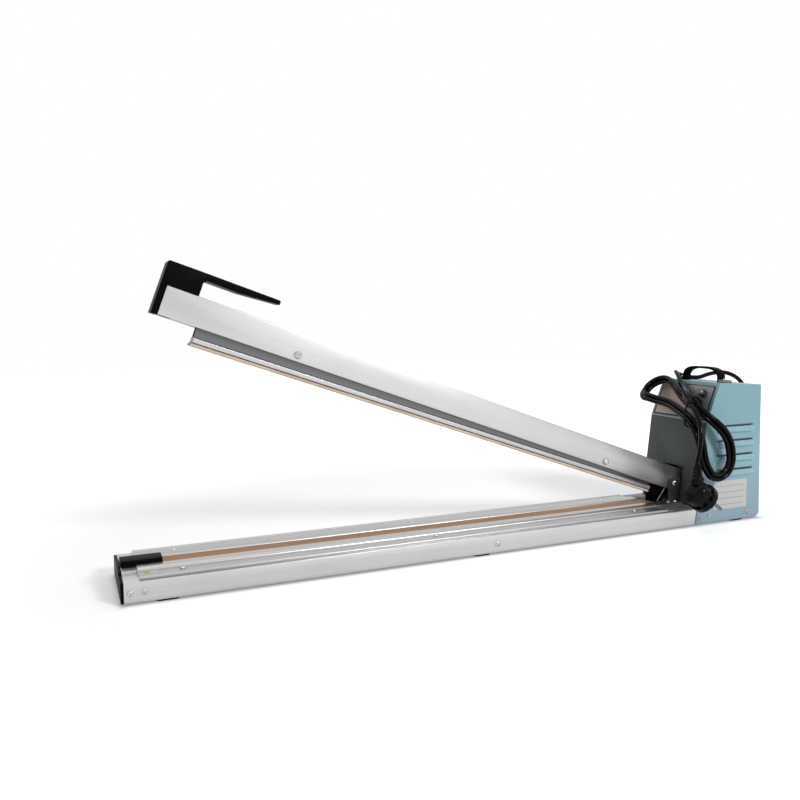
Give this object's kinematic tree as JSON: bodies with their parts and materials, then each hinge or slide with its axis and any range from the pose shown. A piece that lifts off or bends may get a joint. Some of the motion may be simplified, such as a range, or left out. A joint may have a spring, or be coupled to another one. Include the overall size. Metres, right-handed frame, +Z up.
{
  "type": "heat sealer",
  "caption": "Long hand impulse sealer: low base with clamp rails and sealing strip, spring-opened pressing arm, sloped-front transformer housing, carry strap, tied mains cord.",
  "frame": {"origin": "on the floor under the middle of the machine", "axes": "+X runs along the base to the housing, -Y faces the operator, +Z is up"},
  "size_m": [0.8689, 0.1538, 0.3265],
  "materials": {
    "aluminium": "satin extrusion",
    "sheet_aluminium": "satin, folded sheet",
    "black_plastic": "moulded, slightly glossy",
    "blue_paint": "semi-gloss enamel",
    "slate_paint": "semi-gloss enamel",
    "bracket_paint": "satin",
    "plated_steel": "zinc plated",
    "chrome": "polished",
    "spring_steel": "drawn wire",
    "brass": "plain",
    "copper": "enamelled wire",
    "foot_rubber": "plain",
    "silicone": "plain",
    "backing": "plain",
    "ptfe_cloth": "coated glass cloth, slight sheen",
    "insulation": "glass tape",
    "nichrome": "bright flat wire",
    "panel_metal": "champagne foil, satin",
    "lamp_lens": "red lens",
    "label": "plain sticker",
    "core_steel": "laminated, varnished",
    "board": "solder resist",
    "cord": "glossy sheath"
  },
  "bodies": {
    "machine": {"base_body": "aluminium", "end_cap": "black_plastic", "front_rail": "aluminium", "rear_rail": "aluminium", "rail_screws": "plated_steel", "insulation_strip": "insulation", "heating_element": "nichrome", "ptfe_cloth": "ptfe_cloth", "left_terminal_cover": "black_plastic", "left_terminal": "brass", "element_spring": "spring_steel", "right_terminal": "brass", "rubber_feet": "foot_rubber", "base_screws": "plated_steel", "pivot_bracket": "bracket_paint", "bracket_screws": "plated_steel", "pivot_pin": "plated_steel", "return_springs": "spring_steel", "switch_bracket": "plated_steel", "switch_body": "black_plastic", "housing_cover": "blue_paint", "front_plate": "slate_paint", "control_panel": "panel_metal", "pilot_lamp": "lamp_lens", "timer_control": "plated_steel", "power_control": "plated_steel", "timer_board": "board", "carry_strap": "black_plastic", "strap_clips": "chrome", "strap_screws": "plated_steel", "housing_screws": "plated_steel", "rating_plate": "label", "transformer_core": "core_steel", "transformer_winding": "copper", "transformer_screws": "plated_steel", "cord_gland": "black_plastic", "mains_lead": "cord", "cord_hank": "cord", "cord_tie": "black_plastic", "plug_lead": "cord", "plug_body": "black_plastic", "plug_pins": "plated_steel"},
    "arm": {"arm_channel": "sheet_aluminium", "arm_handle": "black_plastic", "handle_screws": "plated_steel", "hinge_block": "black_plastic", "guide_screws": "plated_steel", "press_springs": "spring_steel"},
    "press_bar": {"press_bar": "aluminium", "strip_backing": "backing", "silicone_strip": "silicone"},
    "switch_plunger": {"switch_plunger": "backing"},
    "timer_knob": {"timer_knob": "black_plastic"},
    "power_knob": {"power_knob": "chrome"}
  },
  "joints": [
    {"name": "arm_hinge", "type": "hinge", "parent": "machine", "child": "arm", "pos_m": [0.2895, 0, 0.049], "axis": [0, 1, 0], "range_deg": [-20, 0], "stiffness_Nm_per_rad": 4, "springref_deg": 57.3, "deforming": ["return_springs"]},
    {"name": "press_bar_float", "type": "hinge", "parent": "arm", "child": "press_bar", "pos_m": [0.18068, 0, 0.08626], "axis": [0, 1, 0], "range_deg": [0, 0.65], "deforming": ["press_springs"]},
    {"name": "switch_travel", "type": "slide", "parent": "machine", "child": "switch_plunger", "axis": [0, 0, 1], "range_m": [-0.0018, 0]},
    {"name": "timer_turn", "type": "hinge", "parent": "machine", "child": "timer_knob", "pos_m": [0.31776, -0.0287, 0.15514], "axis": [0.9225, 0, -0.386], "range_deg": [0, 300]},
    {"name": "power_turn", "type": "hinge", "parent": "machine", "child": "power_knob", "pos_m": [0.32278, -0.0314, 0.16713], "axis": [0.9225, 0, -0.386], "range_deg": [0, 270]}
  ],
  "couplings": [
    {"joint": "press_bar_float", "follows": "arm_hinge", "ratio": -0.0325},
    {"joint": "switch_travel", "follows": "arm_hinge", "m_per_rad": 0.00515}
  ]
}
